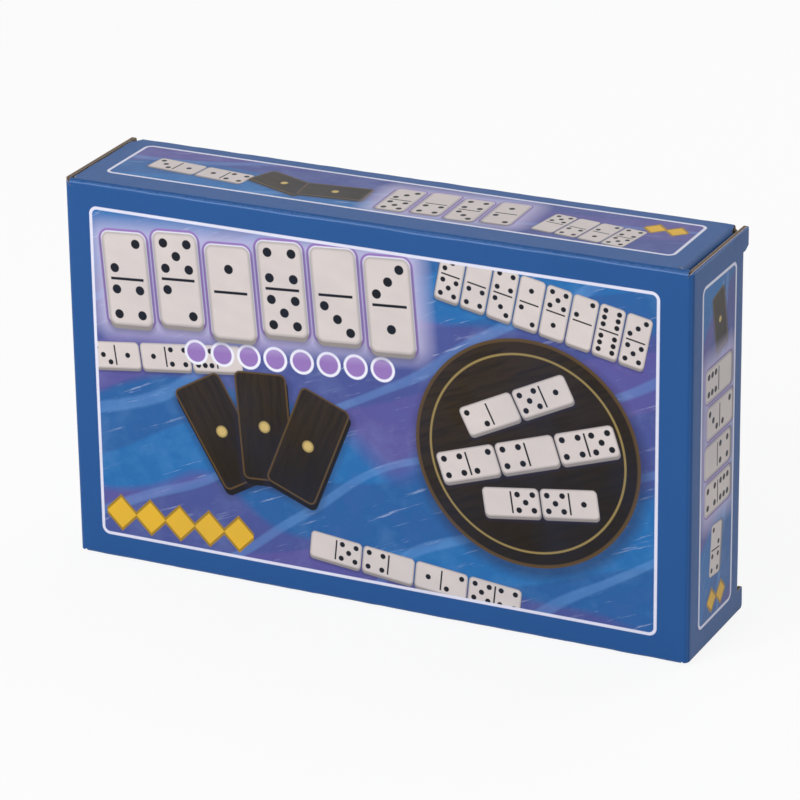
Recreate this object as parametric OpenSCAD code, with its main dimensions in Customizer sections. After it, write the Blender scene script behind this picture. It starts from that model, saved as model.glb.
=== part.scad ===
// Domino storage box: a tuck-end carton holding a hinged wooden case of double-six dominoes.
// The frame is +X along the long side, -Y out of the front panel and +Z up. The origin is at the
// centre of the base, and every length is in millimetres.

/* [Dominoes] */
// Length of a tile
tile_l = 48; // [40:1:52]
// Width of a tile
tile_w = 24; // [20:0.5:26]
// Thickness of a tile
tile_t = 10; // [8:0.5:13]
// Radius of a tile's edges
tile_edge_r = 1.2; // [0.6:0.1:2]
// Room left between neighbouring tiles
tile_gap = 0.3; // [0.1:0.1:1]
// Spare depth over the top layer of tiles
tile_slack = 1; // [0.5:0.5:3]
// Distance between the rows of pips
pip_pitch = 6.2; // [5:0.1:6.5]
// Radius of a pip at the tile's face
pip_r = 2.2; // [1.5:0.1:2.4]
// Depth of a pip
pip_depth = 0.7; // [0.4:0.1:1]
// Length of the groove across the middle of a tile
bar_l = 19; // [14:1:19]
// Width of that groove
bar_w = 1; // [0.6:0.1:2]
// Depth of that groove
bar_depth = 0.6; // [0.3:0.1:1]

/* [Case] */
// Width of the case's wooden rim
rim_w = 10; // [9:0.5:14]
// Thickness of the floor and lid panels
panel_t = 3; // [2:0.5:5]
// Width of the rabbet that a panel sits in
rabbet_w = 4; // [2:0.5:6]
// Gap round a panel in its rabbet, and round a lining
panel_fit = 0.15; // [0.1:0.05:0.4]
// Thickness of the linings
lining_t = 1; // [0.5:0.5:2]
// Height of the lid, of the whole case's thickness
lid_h = 9; // [8:0.5:11]
// Radius of the case's corners
case_corner_r = 3; // [1:0.5:6]

/* [Case hinges] */
// Distance from the case's middle to the middle of a hinge
hinge_x = 50; // [34:1:60]
// Length of a hinge
hinge_len = 30; // [24:1:36]
// Width of a hinge leaf
leaf_w = 7.5; // [6:0.5:8]
// Thickness of a hinge leaf
leaf_t = 0.8; // [0.6:0.1:1]
// Outside radius of a hinge's barrel
barrel_r = 2; // [1.8:0.1:2.4]
// Radius of a hinge's pin
pin_r = 1; // [0.8:0.1:1.2]
// Distance between two screws in a leaf
screw_pitch = 10; // [8:0.5:11]
// Length of a hinge screw
screw_l = 6; // [4:0.5:7]
// Radius of a screw's shank
screw_r = 0.8; // [0.6:0.1:1]
// Radius of a screw's countersunk head
screw_head_r = 1.6; // [1.2:0.1:2]

/* [Clasp] */
// Length of the clasp along the case's edge
clasp_len = 20; // [16:1:26]
// Thickness of the clasp's plates
clasp_t = 0.8; // [0.6:0.1:1]
// Reach of the catch plate over the tray's side
catch_reach = 12; // [10:1:14]
// Outside radius of the clasp's barrel
clasp_barrel_r = 1.2; // [1.1:0.1:1.5]
// Radius of the clasp's pin
clasp_pin_r = 0.5; // [0.4:0.1:0.6]
// Width of the swinging hasp
hasp_w = 10; // [8:1:12]
// Radius of the post that the hasp drops over
post_r = 1.5; // [1.2:0.1:2]
// Radius of a nail's head
nail_head_r = 1; // [0.8:0.1:1.2]
// Length of a nail's shank
nail_l = 5; // [3:0.5:7]

/* [Carton] */
// Thickness of the carton's board
board = 1.5; // [1:0.1:2]
// Outside radius of the carton's long folds
fold_r = 2; // [1.8:0.1:3]
// Room between the front panel and the case
front_room = 1.5; // [1:0.5:4]
// Room between the case and the tuck flaps
back_room = 8; // [5:0.5:12]
// Room between the case and the dust flaps
end_room = 5; // [1:0.5:10]
// Room between the clasp and the top panel
head_room = 2; // [0.5:0.5:6]
// Width of the glue flap inside the back panel
glue_w = 15; // [10:1:25]
// Thickness of the glue line between that flap and the back panel
glue_line = 0.2; // [0.1:0.05:0.4]

/* [End closures] */
// Gap between the end panel and the folded dust flaps
dust_gap = 1.6; // [1:0.1:3]
// Length of a dust flap
dust_l = 34; // [20:1:45]
// Slope of the dust flap's edge beside the end panel's crease, in degrees
dust_taper = 32; // [30:1:40]
// Length of the tuck flap
tuck_l = 12; // [8:0.5:14]
// Slant at each corner of the tuck flap
tuck_corner = 4; // [2:0.5:6]
// Spare gap between the tuck flap and the back panel as it is drawn out
tuck_slack = 0.3; // [0.2:0.1:1]
// Share of the end panel's turn by which the tuck flap folds in
tuck_follow = 0.25; // [0.1:0.05:0.4]
// Height of the upper locking ear
upper_ear_h = 7; // [5:0.5:12]
// Height of the lower locking ear
lower_ear_h = 6.5; // [5:0.5:12]
// Slant under the upper ear
ear_slant = 2; // [0.5:0.5:4]
// Height of the end panel's lower edge over the base
end_lift = 1; // [0.5:0.5:2]
// Clearance in a crease
crease_gap = 0.1; // [0.05:0.05:0.3]
// Clearance beside a flap
side_gap = 0.6; // [0.4:0.1:1.5]

/* [Hidden] */
$fn = 48;
// Overshoot of a cutting shape.
over = 1;
// Radial running clearance of a pin in its knuckles.
pin_fit = 0.05;
// Gap between two knuckles, and between a knuckle and the wood.
knuckle_gap = 0.2;
knuckles = 5;
cols = 7;
rows = 2;
layers = 2;
highest_pip = 6;
tiles_per_layer = cols * rows;

bay_l = cols * tile_w + (cols + 1) * tile_gap;
bay_h = rows * tile_l + (rows + 1) * tile_gap;
case_l = bay_l + 2 * rim_w;
case_h = bay_h + 2 * rim_w;
case_t = 2 * (panel_t + lining_t) + layers * tile_t + tile_slack;
// The hasp rides over the catch plate, and the post stands through it.
hasp_z = clasp_t + pin_fit;
post_h = hasp_z + clasp_t + 0.6;
clasp_h = max(post_h, 2 * clasp_barrel_r);

// The end panel turns about its crease with the front panel, and carries the tuck flap's crease.
end_turn = 180;
half_board = board / 2;
end_reach = board + front_room + case_t + back_room;
tuck_sweep = pow(tuck_l * (1 - tuck_follow), 2) / (2 * end_reach);
tuck_gap = tuck_slack + tuck_sweep;

carton_l = case_l + 2 * (end_room + board + dust_gap + board);
carton_d = board + end_reach + tuck_gap + board;
carton_h = board + barrel_r + case_h + clasp_h + head_room + board;
end_x = carton_l / 2;
front_y = -carton_d / 2;
back_y = carton_d / 2;

// Where the bottom panel folds up into the glue flap, and that flap's inner face.
glue_fold_y = back_y - board - glue_line - fold_r;
glue_inner_y = back_y - 2 * board - glue_line;

crease_x = end_x - half_board;
crease_y = front_y + half_board;
tuck_y = crease_y + end_reach;
// What a panel stops short of its crease's axis.
crease_back = half_board + crease_gap;
side_end_x = crease_x - crease_back;
dust_x = end_x - board - dust_gap - half_board;
flap_end_x = dust_x - crease_back;
tuck_z0 = end_lift + lower_ear_h + side_gap;
tuck_z1 = carton_h - upper_ear_h - side_gap;

case_y0 = front_y + board + front_room;
case_y1 = case_y0 + case_t;
parting_y = case_y0 + lid_h;
case_z0 = board + barrel_r;
case_z1 = case_z0 + case_h;
case_mid_z = (case_z0 + case_z1) / 2;
clasp_axis_y = parting_y - clasp_barrel_r - 0.4;
clasp_axis_z = case_z1 + clasp_barrel_r;
clasp_knuckle = clasp_len / 3;
post_y = parting_y + catch_reach / 2;
screw_z = case_z0 + leaf_w * 0.62;
pip_ball_r = (pow(pip_r, 2) + pow(pip_depth, 2)) / (2 * pip_depth);

board_blue = [0.15, 0.31, 0.54];
wood_brown = [0.2, 0.13, 0.09];
brass_yellow = [0.78, 0.6, 0.3];
felt_green = [0.1, 0.2, 0.15];
tile_cream = [0.88, 0.83, 0.76];

TILES = [for (a = [0:highest_pip]) for (b = [a:highest_pip]) [a, b]];
function tile_name(t) = str("domino_", t[0], "_", t[1]);

// ---- Helpers ----

// A box between two opposite corners.
module span(low, high) { translate(low) cube(high - low); }

// A flat shape drawn in X and Z, as thick as the stretch of Y from y0 to y1.
module along_y(y0, y1) { translate([0, y1, 0]) rotate([90, 0, 0]) linear_extrude(y1 - y0) children(); }

// A flat shape drawn in Y and Z, as thick as the stretch of X from x0 to x1.
module along_x(x0, x1) { translate([x0, 0, 0]) rotate([90, 0, 90]) linear_extrude(x1 - x0) children(); }

// A round bar along X.
module rod_x(x0, x1, r) { translate([x0, 0, 0]) rotate([0, 90, 0]) cylinder(r = r, h = x1 - x0); }

module rectangle(l, h) { square([l, h], center = true); }

module rounded_rectangle(l, h, r) {
    rectangle(l, h - 2 * r);
    rectangle(l - 2 * r, h);
    for (x = [-1, 1]) for (y = [-1, 1]) translate([x * (l / 2 - r), y * (h / 2 - r)]) circle(r);
}

// The right end as drawn, or its mirror image at the left end.
module at_end(side) { mirror([side < 0 ? 1 : 0, 0, 0]) children(); }

// ---- Carton ----

// A quarter of a fold, round a centre, in the quadrant that the two signs name.
module fold_corner(centre, sy, sz) {
    translate(centre) intersection() {
        difference() {
            circle(fold_r);
            circle(fold_r - board);
        }
        scale([sy, sz]) square(fold_r);
    }
}

// The sleeve's section: four panels, three outside folds, and the fold and root of the glue flap.
module sleeve_section() {
    top = carton_h;
    translate([front_y, fold_r]) square([board, top - 2 * fold_r]);
    translate([front_y + fold_r, top - board]) square([carton_d - 2 * fold_r, board]);
    translate([back_y - board, 0]) square([board, top - fold_r]);
    translate([front_y + fold_r, 0]) square([glue_fold_y - front_y - fold_r, board]);
    fold_corner([front_y + fold_r, fold_r], -1, -1);
    fold_corner([front_y + fold_r, top - fold_r], -1, 1);
    fold_corner([back_y - fold_r, top - fold_r], 1, 1);
    fold_corner([glue_fold_y, fold_r], 1, -1);
    translate([glue_inner_y, fold_r]) square([board + glue_line, board]);
}

// Where the top and bottom panels stop short, to let the dust flaps hinge.
module dust_notch(z0, z1) {
    span([flap_end_x, front_y + fold_r, z0], [end_x + over, glue_fold_y, z1]);
}

module carton_sleeve() {
    glue_end_x = end_x - board - tuck_l - 2 * board;
    color(board_blue) {
        difference() {
            along_x(-side_end_x, side_end_x) sleeve_section();
            for (side = [-1, 1]) at_end(side) {
                dust_notch(-over, board + over);
                dust_notch(carton_h - board - over, carton_h + over);
            }
        }
        span([-glue_end_x, glue_inner_y, fold_r], [glue_end_x, back_y - board, fold_r + glue_w]);
    }
}

// The end panel, with a bead on the crease's axis and the locking ears beyond the tuck flap.
module end_panel(side) {
    tuck_edge_y = tuck_y - crease_back;
    turn = end_turn * tuck_follow;
    bevel = half_board * (cos(turn) + (1 + sin(turn)) * tan(turn) - 1) + crease_gap;
    color(board_blue) at_end(side) {
        difference() {
            along_x(end_x - board, end_x) polygon([
                [crease_y, fold_r], [crease_y + fold_r, end_lift], [back_y, end_lift],
                [back_y, end_lift + lower_ear_h], [tuck_edge_y, end_lift + lower_ear_h],
                [tuck_edge_y, carton_h - upper_ear_h], [back_y, carton_h - upper_ear_h + ear_slant],
                [back_y, carton_h], [crease_y + fold_r / 2, carton_h],
                [crease_y, carton_h - fold_r / 2]]);
            // The bruised inner edge of the tuck crease, which lets the flap fold further in.
            translate([end_x - board, tuck_edge_y, tuck_z0 - side_gap])
                linear_extrude(tuck_z1 - tuck_z0 + 2 * side_gap) polygon([
                    [-over, over], [-over, -bevel - over], [0, -bevel],
                    [board - crease_gap, 0], [board - crease_gap, over]]);
        }
        translate([crease_x, crease_y, fold_r]) cylinder(r = half_board, h = carton_h - 1.5 * fold_r);
    }
}

// The tuck flap, which lies inside the back panel.
module tuck_flap(side) {
    tip_x = crease_x - tuck_l;
    color(board_blue) at_end(side) {
        along_y(tuck_y - half_board, tuck_y + half_board) polygon([
            [crease_x, tuck_z0], [crease_x - tuck_corner / 2, tuck_z0], [tip_x, tuck_z0 + tuck_corner],
            [tip_x, tuck_z1 - tuck_corner], [crease_x - tuck_corner / 2, tuck_z1], [crease_x, tuck_z1]]);
        translate([crease_x, tuck_y, tuck_z0]) cylinder(r = half_board, h = tuck_z1 - tuck_z0);
    }
}

// The dust flap under the top panel. Its long slope keeps clear of the end panel as both turn.
module top_dust_flap() {
    y0 = front_y + fold_r + side_gap;
    y1 = tuck_y - half_board - side_gap;
    hinge_z = carton_h - half_board;
    slope = dust_l * tan(dust_taper);
    corner = dust_l / 10;
    along_x(dust_x - half_board, dust_x + half_board) polygon([
        [y0, hinge_z], [y0 + slope, hinge_z - dust_l], [y1 - corner, hinge_z - dust_l],
        [y1, hinge_z - dust_l + corner], [y1, hinge_z]]);
    translate([dust_x, y0, hinge_z]) rotate([-90, 0, 0]) cylinder(r = half_board, h = y1 - y0);
}

module dust_flap(side, level) {
    color(board_blue) at_end(side) {
        if (level > 0) top_dust_flap();
        else translate([0, 0, carton_h]) mirror([0, 0, 1]) top_dust_flap();
    }
}

// ---- Wooden case ----

module case_outline() { translate([0, case_mid_z]) rounded_rectangle(case_l, case_h, case_corner_r); }

module bay(grow) { translate([0, case_mid_z]) rectangle(bay_l + 2 * grow, bay_h + 2 * grow); }

// A rim of the case between y0 and y1, with a rabbet for its panel between r0 and r1.
module rim(y0, y1, r0, r1) {
    difference() {
        along_y(y0, y1) difference() {
            case_outline();
            bay(0);
        }
        along_y(r0, r1) bay(rabbet_w);
    }
}

module at_hinges() { for (x = [-hinge_x, hinge_x]) translate([x, parting_y, case_z0]) children(); }

// The recess for one leaf of each hinge, on the tray's side (1) or the lid's side (-1).
module hinge_recess(to) {
    half = hinge_len / 2;
    at_hinges() {
        rod_x(-half - knuckle_gap, half + knuckle_gap, barrel_r + knuckle_gap);
        scale([1, to, 1]) span([-half, -over, -over], [half, leaf_t, leaf_w]);
        for (i = [-1:1]) translate([i * screw_pitch, 0, screw_z - case_z0]) rotate([-90 * to, 0, 0])
            cylinder(r = screw_r + pin_fit, h = screw_l + 2 * pin_fit);
    }
}

// Where the clasp's nails go: two through the lid's plate and two through the catch plate.
module at_nails() {
    nail_x = clasp_len / 2 - 2 * nail_head_r;
    for (x = [-nail_x, nail_x]) for (y = [lid_nail_y, catch_nail_y]) translate([x, y, case_z1]) children();
}
lid_nail_y = (case_y0 + clasp_axis_y) / 2;
catch_nail_y = parting_y + catch_reach - 2 * nail_head_r;
nail_r = nail_head_r * 0.4;

module nail_holes() {
    at_nails() translate([0, 0, -nail_l - pin_fit])
        cylinder(r = nail_r + pin_fit, h = nail_l + over, $fn = 24);
}

module tray_frame() {
    color(wood_brown) difference() {
        rim(parting_y, case_y1, case_y1 - panel_t, case_y1 + over);
        hinge_recess(1);
        nail_holes();
    }
}

module lid_frame() {
    color(wood_brown) difference() {
        rim(case_y0, parting_y, case_y0 - over, case_y0 + panel_t);
        hinge_recess(-1);
        nail_holes();
    }
}

module tray_floor() { color(wood_brown) along_y(case_y1 - panel_t, case_y1) bay(rabbet_w - panel_fit); }

module lid_panel() { color(wood_brown) along_y(case_y0, case_y0 + panel_t) bay(rabbet_w - panel_fit); }

module tray_lining() {
    color(felt_green) along_y(case_y1 - panel_t - lining_t, case_y1 - panel_t) bay(-panel_fit);
}

module lid_lining() {
    color(felt_green) along_y(case_y0 + panel_t, case_y0 + panel_t + lining_t) bay(-panel_fit);
}

// ---- Case hinges ----

// A leaf with every second knuckle of the barrel, from the first, on the tray's side (1) or the lid's (-1).
module hinge_leaf(side, to) {
    first = to > 0 ? 0 : 1;
    pitch = hinge_len / knuckles;
    half = hinge_len / 2;
    color(brass_yellow) translate([side * hinge_x, parting_y, case_z0]) difference() {
        union() {
            scale([1, to, 1]) span([-half, 0, 0], [half, leaf_t, leaf_w]);
            for (i = [first:2:knuckles - 1])
                rod_x(i * pitch - half, (i + 1) * pitch - half - knuckle_gap / 2, barrel_r);
        }
        for (i = [1 - first:2:knuckles - 1])
            rod_x(i * pitch - half - knuckle_gap, (i + 1) * pitch - half + knuckle_gap / 2,
                  barrel_r + knuckle_gap);
        rod_x(-half - over, half + over, pin_r + pin_fit);
        for (i = [-1:1]) translate([i * screw_pitch, 0, screw_z - case_z0]) rotate([-90 * to, 0, 0])
            cylinder(r1 = screw_head_r + 2 * pin_fit, r2 = screw_r + 2 * pin_fit, h = leaf_t);
    }
}

module hinge_pin(side) {
    half = hinge_len / 2 - knuckle_gap / 2;
    color(brass_yellow) translate([side * hinge_x, parting_y, case_z0]) rod_x(-half, half, pin_r);
}

module hinge_screws() {
    color(brass_yellow) for (to = [-1, 1]) at_hinges() for (i = [-1:1])
        translate([i * screw_pitch, to * pin_fit, screw_z - case_z0]) rotate([-90 * to, 0, 0]) difference() {
            union() {
                cylinder(r1 = screw_head_r, r2 = screw_r, h = leaf_t);
                cylinder(r = screw_r, h = screw_l);
            }
            cube([2 * screw_head_r, screw_r / 2, leaf_t], center = true);
        }
}

// ---- Clasp ----

module clasp_plate(y0, y1) {
    difference() {
        span([-clasp_len / 2, y0, case_z1], [clasp_len / 2, y1, case_z1 + clasp_t]);
        at_nails() translate([0, 0, -over]) cylinder(r = nail_r + pin_fit, h = 2 * over, $fn = 24);
    }
}

module on_clasp_axis() { translate([0, clasp_axis_y, clasp_axis_z]) children(); }

module clasp_bore() { on_clasp_axis() rod_x(-clasp_len, clasp_len, clasp_pin_r + pin_fit); }

module clasp_lid_plate() {
    inner = clasp_knuckle / 2;
    color(brass_yellow) difference() {
        union() {
            clasp_plate(case_y0 + clasp_t, clasp_axis_y);
            for (s = [-1, 1]) on_clasp_axis() scale([s, 1, 1]) rod_x(inner, clasp_knuckle, clasp_barrel_r);
        }
        clasp_bore();
        on_clasp_axis() rod_x(-inner - pin_fit, inner + pin_fit, clasp_barrel_r + knuckle_gap);
    }
}

module clasp_catch_plate() {
    color(brass_yellow) {
        clasp_plate(parting_y + knuckle_gap, parting_y + catch_reach);
        translate([0, post_y, case_z1]) cylinder(r = post_r, h = post_h);
    }
}

module clasp_hasp() {
    inner = clasp_knuckle / 2 - pin_fit;
    tip_y = post_y + 2 * post_r;
    tongue_z = case_z1 + hasp_z;
    color(brass_yellow) difference() {
        union() {
            on_clasp_axis() rod_x(-inner, inner, clasp_barrel_r);
            span([-inner, clasp_axis_y, tongue_z], [inner, post_y, tongue_z + clasp_t]);
            span([-hasp_w / 2, parting_y + clasp_t, tongue_z], [hasp_w / 2, tip_y, tongue_z + clasp_t]);
            translate([0, tip_y, tongue_z + clasp_t]) rod_x(-inner, inner, clasp_t);
        }
        clasp_bore();
        translate([0, post_y, case_z1]) cylinder(r = post_r + 2 * pin_fit, h = clasp_h + over);
    }
}

module clasp_pin() { color(brass_yellow) on_clasp_axis() rod_x(-clasp_knuckle, clasp_knuckle, clasp_pin_r); }

module clasp_nails() {
    color(brass_yellow) at_nails() {
        translate([0, 0, -nail_l]) cylinder(r = nail_r, h = nail_l + clasp_t, $fn = 24);
        translate([0, 0, clasp_t]) intersection() {
            scale(nail_head_r) sphere(1);
            translate([-over, -over, 0] * 2) cube(4 * over);
        }
    }
}

// ---- Dominoes ----

// The places of n pips on half a tile, in steps of the pip pitch.
function pips(n) = concat(
    n % 2 == 1 ? [[0, 0]] : [],
    n > 1 ? [[-1, 1], [1, -1]] : [],
    n > 3 ? [[1, 1], [-1, -1]] : [],
    n == 6 ? [[-1, 0], [1, 0]] : []);

// A block with every edge rounded: three rounded outlines, one along each axis, crossed.
module rounded_block(l, t, h, r) {
    intersection() {
        linear_extrude(h, center = true) rounded_rectangle(l, t, r);
        rotate([90, 0, 0]) linear_extrude(t, center = true) rounded_rectangle(l, h, r);
        rotate([90, 0, 90]) linear_extrude(l, center = true) rounded_rectangle(t, h, r);
    }
}

// Tile i of TILES. The first layer that is filled is the one next to the lid.
module domino(i) {
    layer = floor(i / tiles_per_layer);
    row = floor((i % tiles_per_layer) / cols);
    col = i % cols;
    x = (col - (cols - 1) / 2) * (tile_w + tile_gap);
    y = case_y1 - panel_t - lining_t - (layers - layer - 0.5) * tile_t;
    z = case_mid_z + ((rows - 1) / 2 - row) * (tile_l + tile_gap);
    color(tile_cream) translate([x, y, z]) difference() {
        rounded_block(tile_w, tile_t, tile_l, tile_edge_r);
        for (half = [0, 1]) for (p = pips(TILES[i][half]))
            translate([p[0] * pip_pitch, -tile_t / 2 - pip_ball_r + pip_depth,
                       (0.5 - half) * tile_l / 2 + p[1] * pip_pitch])
                sphere(pip_ball_r, $fn = 32);
        span([-bar_l / 2, -tile_t / 2 - over, -bar_w / 2], [bar_l / 2, -tile_t / 2 + bar_depth, bar_w / 2]);
    }
}

carton_sleeve();
end_panel(1);  // right_end_panel
tuck_flap(1);  // right_tuck_flap
dust_flap(1, 1);  // right_top_dust_flap
dust_flap(1, -1);  // right_bottom_dust_flap
end_panel(-1);  // left_end_panel
tuck_flap(-1);  // left_tuck_flap
dust_flap(-1, 1);  // left_top_dust_flap
dust_flap(-1, -1);  // left_bottom_dust_flap
tray_frame();
tray_floor();
tray_lining();
lid_frame();
lid_panel();
lid_lining();
hinge_leaf(1, 1);  // right_hinge_tray_leaf
hinge_leaf(1, -1);  // right_hinge_lid_leaf
hinge_pin(1);  // right_hinge_pin
hinge_leaf(-1, 1);  // left_hinge_tray_leaf
hinge_leaf(-1, -1);  // left_hinge_lid_leaf
hinge_pin(-1);  // left_hinge_pin
hinge_screws();
clasp_lid_plate();
clasp_catch_plate();
clasp_hasp();
clasp_pin();
clasp_nails();
for (i = [0:len(TILES) - 1]) domino(i);
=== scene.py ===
from math import cos, exp, hypot, pi, radians, sin

import bmesh
import bpy
from mathutils import Matrix, Vector, noise


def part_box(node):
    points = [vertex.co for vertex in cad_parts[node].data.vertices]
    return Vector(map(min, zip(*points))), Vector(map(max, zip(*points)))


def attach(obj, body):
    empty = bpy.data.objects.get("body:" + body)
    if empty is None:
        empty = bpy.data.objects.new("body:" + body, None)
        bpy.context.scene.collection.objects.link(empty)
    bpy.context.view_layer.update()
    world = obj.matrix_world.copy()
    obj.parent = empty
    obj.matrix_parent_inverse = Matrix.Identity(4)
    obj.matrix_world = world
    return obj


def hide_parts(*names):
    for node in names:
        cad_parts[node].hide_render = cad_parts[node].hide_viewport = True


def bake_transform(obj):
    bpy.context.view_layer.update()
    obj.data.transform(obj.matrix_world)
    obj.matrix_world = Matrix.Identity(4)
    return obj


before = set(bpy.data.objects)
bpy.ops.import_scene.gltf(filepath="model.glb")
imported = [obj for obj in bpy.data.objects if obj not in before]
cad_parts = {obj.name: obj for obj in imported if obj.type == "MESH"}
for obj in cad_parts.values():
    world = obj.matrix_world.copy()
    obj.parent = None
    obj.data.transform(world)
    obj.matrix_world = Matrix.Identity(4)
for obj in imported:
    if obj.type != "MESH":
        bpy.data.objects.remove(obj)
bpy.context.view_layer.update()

bl_info = {
    "name": "Domino storage box",
    "version": (1, 0, 0),
    "blender": (4, 5, 0),
    "location": "View3D > Sidebar > Domino box",
    "description": "Printed carton with tucked ends, round a wooden case of double-six dominoes",
    "category": "Add Mesh",
}

MM = 0.001
BOARD_OUTWARD = Vector((0, -1, 0))
ALONG = Vector((1, 0, 0))
UP = Vector((0, 0, 1))

# Where the carton's panels lie, in metres, read from the frame.
SLEEVE_LOW, SLEEVE_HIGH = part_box("carton_sleeve")
END_LOW, END_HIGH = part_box("right_end_panel")
TUCK_LOW, TUCK_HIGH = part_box("right_tuck_flap")
DUST_LOW, DUST_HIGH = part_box("right_top_dust_flap")
FRONT, BACK, TOP = SLEEVE_LOW.y, SLEEVE_HIGH.y, SLEEVE_HIGH.z
DEEP = BACK - FRONT
END = END_HIGH.x
SIDES = (("right", 1), ("left", -1))

# Share of the board's thickness that is left where it was pressed.
PRESSED = 0.85
# Room left where edges of board meet.
PLAY = 0.1 * MM
# Spacing of the cuts that let a blank bend, and how far in a panel's evenly spaced cuts start.
FINE_STEP, NARROW_STEP, WIDE_STEP, MARGIN = 2.6 * MM, 6 * MM, 10 * MM, 12 * MM
# Rise of a dust flap's cut corner for each unit of its reach.
CUT_SLOPE = 0.6249

# In millimetres: outer sizes of the printed keylines, and the soft step at a shape's edge.
FRAME_LONG, FRAME_TALL, FRAME_DEEP, FRAME_END = 190.8, 110.6, 28.4, 27.2
CRISP = 0.3
# Colours that are the same in every picture.
SHADOW, PALE, HALO = (0.02, 0.02, 0.06), (0.86, 0.86, 0.95), (0.58, 0.54, 0.76)

# The camera: millimetres for its sensor and lens, degrees for angles, metres for the rest.
SENSOR, LENS = 36, 190.408
VIEW_AZIMUTH, VIEW_ELEVATION, VIEW_ROLL = 25.9447, 22.0673, -0.8007
AIM_RIGHT, AIM_UP, VIEW_DISTANCE = -0.00086, -0.00192, 1.30914
# The lamps: name, azimuth and elevation in degrees, and power in watts.
LAMPS = (("key", -20, 30, 11.0), ("back", 164, 48, 4.3))
LAMP_SIZE, LAMP_DISTANCE, LAMP_AIM_HEIGHT = 0.9, 1.3, 0.06
# The floor: half its width, its drop below the box, and how much of it glows white.
FLOOR_REACH, FLOOR_DROP, FLOOR_GLOW = 6, 0.0002, 0.88


def shade(red, green, blue):
    """A colour written as 0 to 255 on screen, made linear."""
    parts = [c / 255 for c in (red, green, blue)]
    return tuple(c / 12.92 if c <= 0.04045 else ((c + 0.055) / 1.055) ** 2.4 for c in parts)


def dimmed(colour, by):
    """A colour made darker or lighter by a factor."""
    return tuple(min(1, by * part) for part in colour)


def between(first, second, share):
    """A colour part of the way from the first to the second."""
    return tuple(a + (b - a) * share for a, b in zip(first, second))


def colour_field(name, description, value):
    return bpy.props.FloatVectorProperty(
        name=name, description=description, subtype="COLOR", size=3, min=0, max=1, default=value)


def length_field(name, description, value):
    return bpy.props.FloatProperty(
        name=name, description=description, subtype="DISTANCE", unit="LENGTH", min=0,
        default=value)


class DominoBoxSizes(bpy.types.PropertyGroup):
    board: length_field("Board", "Thickness of the board", PRESSED * (END_HIGH.x - END_LOW.x))
    fold: length_field("Fold radius", "Outside radius of the folded edges", 1.7 * MM)
    soft_fold: length_field("Right dust fold", "Radius of the right dust flaps' folds", 2.6 * MM)
    tight_fold: length_field("Left dust fold", "Radius of the left dust flaps' folds", 1.45 * MM)
    left_reach: length_field("Left dust reach", "Extra reach of the left dust folds", 1.3 * MM)
    ripple: length_field("Crease ripple", "How far creases wander from a line", 0.14 * MM)
    nick: length_field("Corner rounding", "Radius of the flaps' cut corners", 3 * MM)
    flute: length_field("Flute pitch", "Distance between the board's flutes", 3.1 * MM)
    keyline: length_field("Keyline", "Width of the printed frame line", 1 * MM)


class DominoBoxColours(bpy.types.PropertyGroup):
    border: colour_field("Border", "Blue of the carton's border", shade(35, 84, 144))
    azure: colour_field("Azure", "Lighter blue of the printed waves", shade(28, 108, 172))
    violet: colour_field("Violet", "Violet of the printed waves", shade(86, 78, 142))
    keyline: colour_field("Keyline", "Pale line round each picture", shade(226, 226, 242))
    cream: colour_field("Printed tiles", "Cream of the printed tiles", shade(215, 205, 201))
    lilac: colour_field("Lilac", "Outline of the large printed tiles", shade(150, 118, 184))
    amber: colour_field("Amber", "Small printed accents", shade(228, 180, 48))
    umber: colour_field("Umber", "Printed table and tile backs", shade(31, 22, 9))
    kraft: colour_field("Raw board", "Core of the board at its cut edges", shade(122, 102, 84))
    liner: colour_field("Liner", "Unprinted inside of the board", shade(150, 138, 124))
    wood: colour_field("Wood", "Stained wood of the case", shade(44, 31, 24))
    felt: colour_field("Lining", "Felt in the case's lid and tray", shade(24, 42, 32))
    brass: colour_field("Brass", "Hinges, clasp and nails", shade(205, 178, 110))
    tile: colour_field("Tile", "Moulded body of the dominoes", shade(232, 224, 206))
    pip: colour_field("Pip", "Paint in the pips and bars", shade(18, 18, 20))


def sizes():
    return bpy.context.scene.domino_box_sizes


def colours():
    return bpy.context.scene.domino_box_colours


# ---- Finishes ----


def on_self(operation):
    """The method of an operator, which adds one Math node."""
    return lambda self, *others: self.nodes.math(operation, self, *others)


def reflected(operation):
    """The same where the operator's left side is a number."""
    return lambda self, other: self.nodes.math(operation, other, self)


class Value:
    """A number that varies over a surface. Expressions on it add Math nodes."""

    def __init__(self, nodes, socket):
        self.nodes, self.socket = nodes, socket

    __add__ = __radd__ = on_self("ADD")
    __mul__ = __rmul__ = on_self("MULTIPLY")
    __sub__, __rsub__ = on_self("SUBTRACT"), reflected("SUBTRACT")
    __truediv__, __rtruediv__ = on_self("DIVIDE"), reflected("DIVIDE")
    __mod__, __rmod__ = on_self("FLOORED_MODULO"), reflected("FLOORED_MODULO")
    __gt__, __lt__ = on_self("GREATER_THAN"), on_self("LESS_THAN")
    __abs__, floor, sine = on_self("ABSOLUTE"), on_self("FLOOR"), on_self("SINE")
    either, both = on_self("MAXIMUM"), on_self("MINIMUM")


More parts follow.
